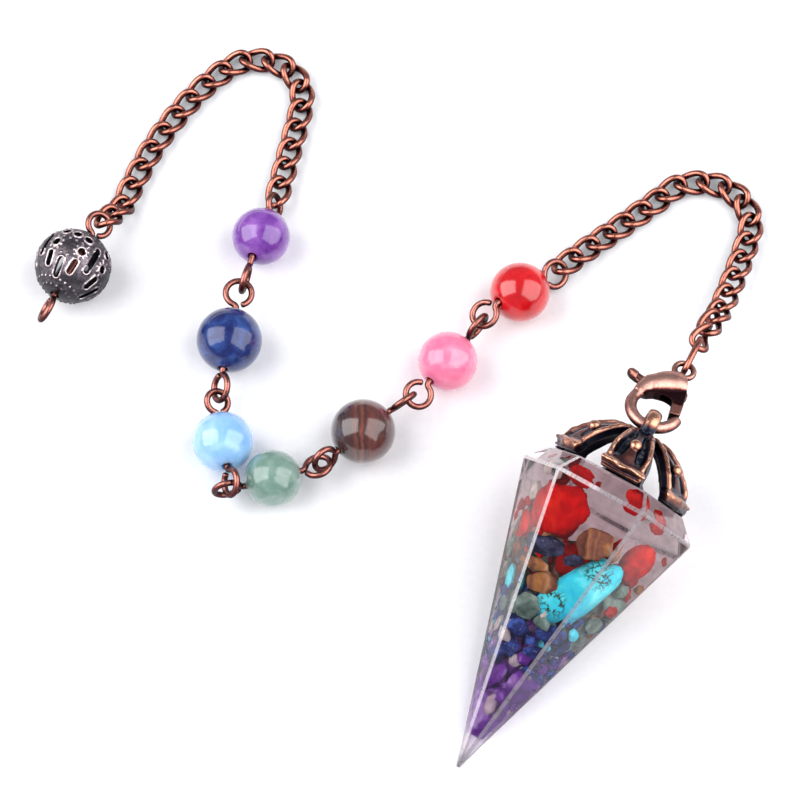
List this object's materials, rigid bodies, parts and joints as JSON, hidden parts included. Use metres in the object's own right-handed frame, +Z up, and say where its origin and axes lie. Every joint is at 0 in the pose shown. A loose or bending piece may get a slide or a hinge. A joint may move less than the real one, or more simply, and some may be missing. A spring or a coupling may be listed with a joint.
{
  "type": "cone pendant on a bead strand",
  "caption": "Six-sided clear resin cone pendant filled with stone chips, with a copper petal cap, lobster clasp, chain, round stone beads and a pierced ball, lying flat.",
  "frame": {"origin": "centre of the strand's bounding box at the level of the table it lies on", "axes": "+X to the right and +Y away as the strand is laid out, +Z up from the table"},
  "size_m": [0.099, 0.1038, 0.021],
  "materials": {
    "clear_resin": "polished clear resin",
    "red_jasper_stone": "polished red jasper chips",
    "tiger_eye_stone": "polished brown banded chips",
    "turquoise_stone": "polished veined chips",
    "aventurine_stone": "polished grey-green chips",
    "lapis_stone": "polished dark blue chips",
    "amethyst_stone": "polished purple chips",
    "quartz_stone": "polished cloudy quartz chips",
    "antique_copper": "cast, antique copper plate darkened in the hollows",
    "chain_copper": "antique copper plate",
    "dark_silver": "gunmetal with copper-pink highlights",
    "red_bead_stone": "polished translucent red",
    "pink_bead_stone": "polished translucent pink quartz",
    "tiger_eye_bead_stone": "polished banded brown",
    "aventurine_bead_stone": "polished translucent green",
    "light_blue_bead_stone": "polished translucent pale blue",
    "lapis_bead_stone": "polished dark blue with grey and gold flecks",
    "amethyst_bead_stone": "polished translucent purple"
  },
  "bodies": {
    "strand": {"resin_cone": "clear_resin", "red_jasper_chips": "red_jasper_stone", "tiger_eye_chips": "tiger_eye_stone", "turquoise_chips": "turquoise_stone", "aventurine_chips": "aventurine_stone", "lapis_chips": "lapis_stone", "amethyst_chips": "amethyst_stone", "quartz_chips": "quartz_stone", "petal_cap": "antique_copper", "clasp_body": "antique_copper", "jump_ring": "chain_copper", "pendant_chain": "chain_copper", "red_bead": "red_bead_stone", "red_wire": "chain_copper", "pink_bead": "pink_bead_stone", "pink_wire": "chain_copper", "tiger_eye_bead": "tiger_eye_bead_stone", "tiger_eye_wire": "chain_copper", "aventurine_bead": "aventurine_bead_stone", "aventurine_wire": "chain_copper", "light_blue_bead": "light_blue_bead_stone", "light_blue_wire": "chain_copper", "lapis_bead": "lapis_bead_stone", "lapis_wire": "chain_copper", "amethyst_bead": "amethyst_bead_stone", "amethyst_wire": "chain_copper", "ball_chain": "chain_copper", "filigree_ball": "dark_silver", "ball_wire": "chain_copper"},
    "lever": {"clasp_lever": "antique_copper"}
  },
  "joints": [
    {"name": "clasp_lever_hinge", "type": "hinge", "parent": "strand", "child": "lever", "pos_m": [0.03624, -0.00451, 0.01091], "axis": [-0.1648, -0.2997, -0.9397], "range_deg": [0, 22], "stiffness_Nm_per_rad": 0.001, "springref_deg": -17.19}
  ]
}
